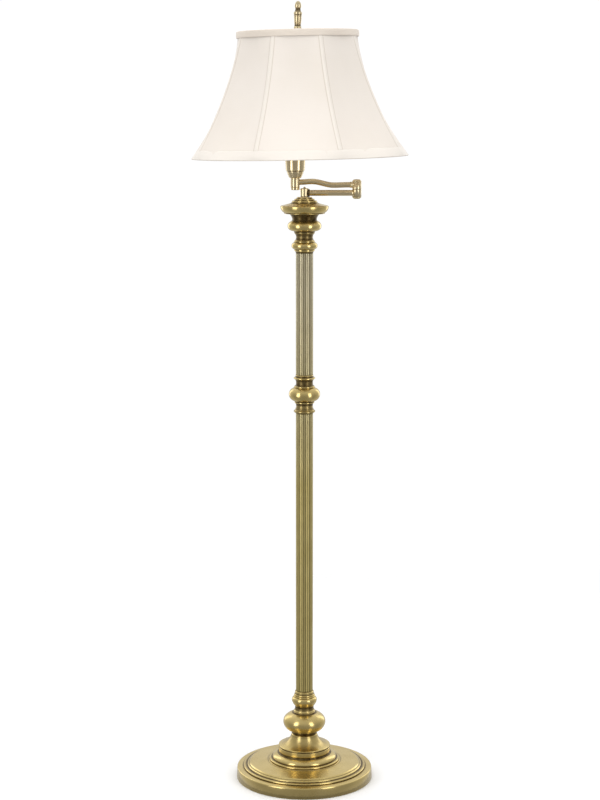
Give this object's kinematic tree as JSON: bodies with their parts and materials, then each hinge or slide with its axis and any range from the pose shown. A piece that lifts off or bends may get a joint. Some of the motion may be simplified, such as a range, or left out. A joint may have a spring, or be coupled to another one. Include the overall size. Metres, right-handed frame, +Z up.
{
  "type": "swing-arm floor lamp",
  "caption": "Traditional brass swing-arm floor lamp: weighted round base, reeded column with turned fittings, folding arm, and a soft panelled bell shade.",
  "frame": {"origin": "centre of the base's underside, on the column axis, at floor level", "axes": "+Z up along the column; +X towards the elbow of the folded arm; -Y is the front, where the switch knob is"},
  "size_m": [0.4212, 0.4214, 1.5486],
  "materials": {
    "antique_brass": "turned, aged, semi-gloss lacquer with darker grooves",
    "column_brass": "reeded tube, aged, satin",
    "plated_steel": "zinc plated",
    "cast_iron": "rough casting",
    "felt": "dense wool felt",
    "black_rubber": "matt",
    "black_plastic": "satin",
    "nylon": "natural",
    "wire_sleeve": "matt insulation",
    "phenolic": "moulded",
    "aluminium": "pressed",
    "bulb_glass": "frosted inside",
    "shade_silk": "off-white slubbed silk over a stiff lining",
    "shade_trim": "cream folded trim tape",
    "shade_wire": "off-white coated wire"
  },
  "bodies": {
    "stand": {"felt_pad": "felt", "base_weight": "cast_iron", "base_shell": "antique_brass", "cord_bushing": "black_rubber", "base_washer": "plated_steel", "base_nut": "plated_steel", "tie_pipe": "plated_steel", "base_pedestal": "antique_brass", "lower_vase": "antique_brass", "lower_collar": "antique_brass", "lower_column": "column_brass", "coupling_base": "antique_brass", "coupling_ball": "antique_brass", "coupling_top": "antique_brass", "upper_column": "column_brass", "neck_bulb": "antique_brass", "neck_vase": "antique_brass", "saucer": "antique_brass", "step_cap": "antique_brass", "pivot_nipple": "plated_steel", "pivot_clip": "plated_steel", "pivot_washer": "nylon", "column_wire": "wire_sleeve"},
    "lower_arm": {"post_knuckle": "antique_brass", "post_screw": "antique_brass", "lower_arm_tube": "antique_brass", "elbow_lower": "antique_brass", "elbow_lower_cap": "antique_brass", "elbow_nipple": "plated_steel", "elbow_clip": "plated_steel", "lower_arm_wire": "wire_sleeve"},
    "upper_arm": {"elbow_upper": "antique_brass", "elbow_upper_cap": "antique_brass", "upper_arm_tube": "antique_brass", "head_hub": "antique_brass", "hub_cap": "antique_brass", "socket_cone": "antique_brass", "socket_cup": "antique_brass", "socket_nipple": "plated_steel", "harp_saddle": "antique_brass", "harp": "antique_brass", "harp_sleeves": "antique_brass", "harp_stud": "antique_brass", "finial": "antique_brass", "socket_cap": "antique_brass", "socket_shell": "antique_brass", "socket_body": "phenolic", "screw_shell": "aluminium", "bulb_base": "aluminium", "bulb_glass": "bulb_glass", "upper_arm_wire": "wire_sleeve"},
    "switch": {"switch_knob": "black_plastic"},
    "shade": {"shade_spider": "shade_wire", "shade_top_ring": "shade_wire", "shade_bottom_ring": "shade_wire", "shade_ribs": "shade_wire", "shade_panels": "shade_silk", "shade_tapes": "shade_trim", "shade_top_trim": "shade_trim", "shade_bottom_trim": "shade_trim"}
  },
  "joints": [
    {"name": "lower_arm_swing", "type": "hinge", "parent": "stand", "child": "lower_arm", "pos_m": [0, 0, 1.183], "axis": [0, 0, 1], "range_deg": [-165, 165]},
    {"name": "upper_arm_swing", "type": "hinge", "parent": "lower_arm", "child": "upper_arm", "pos_m": [0.1015, 0, 1.19], "axis": [0, 0, 1], "range_deg": [-170, 170]},
    {"name": "switch_turn", "type": "hinge", "parent": "upper_arm", "child": "switch", "pos_m": [-0.018, 0, 1.2827], "axis": [0, -1, 0], "continuous": true},
    {"name": "shade_turn", "type": "hinge", "parent": "upper_arm", "child": "shade", "pos_m": [-0.01352, 0, 1.49226], "axis": [-0.0192, 0, 0.9998], "continuous": true}
  ]
}
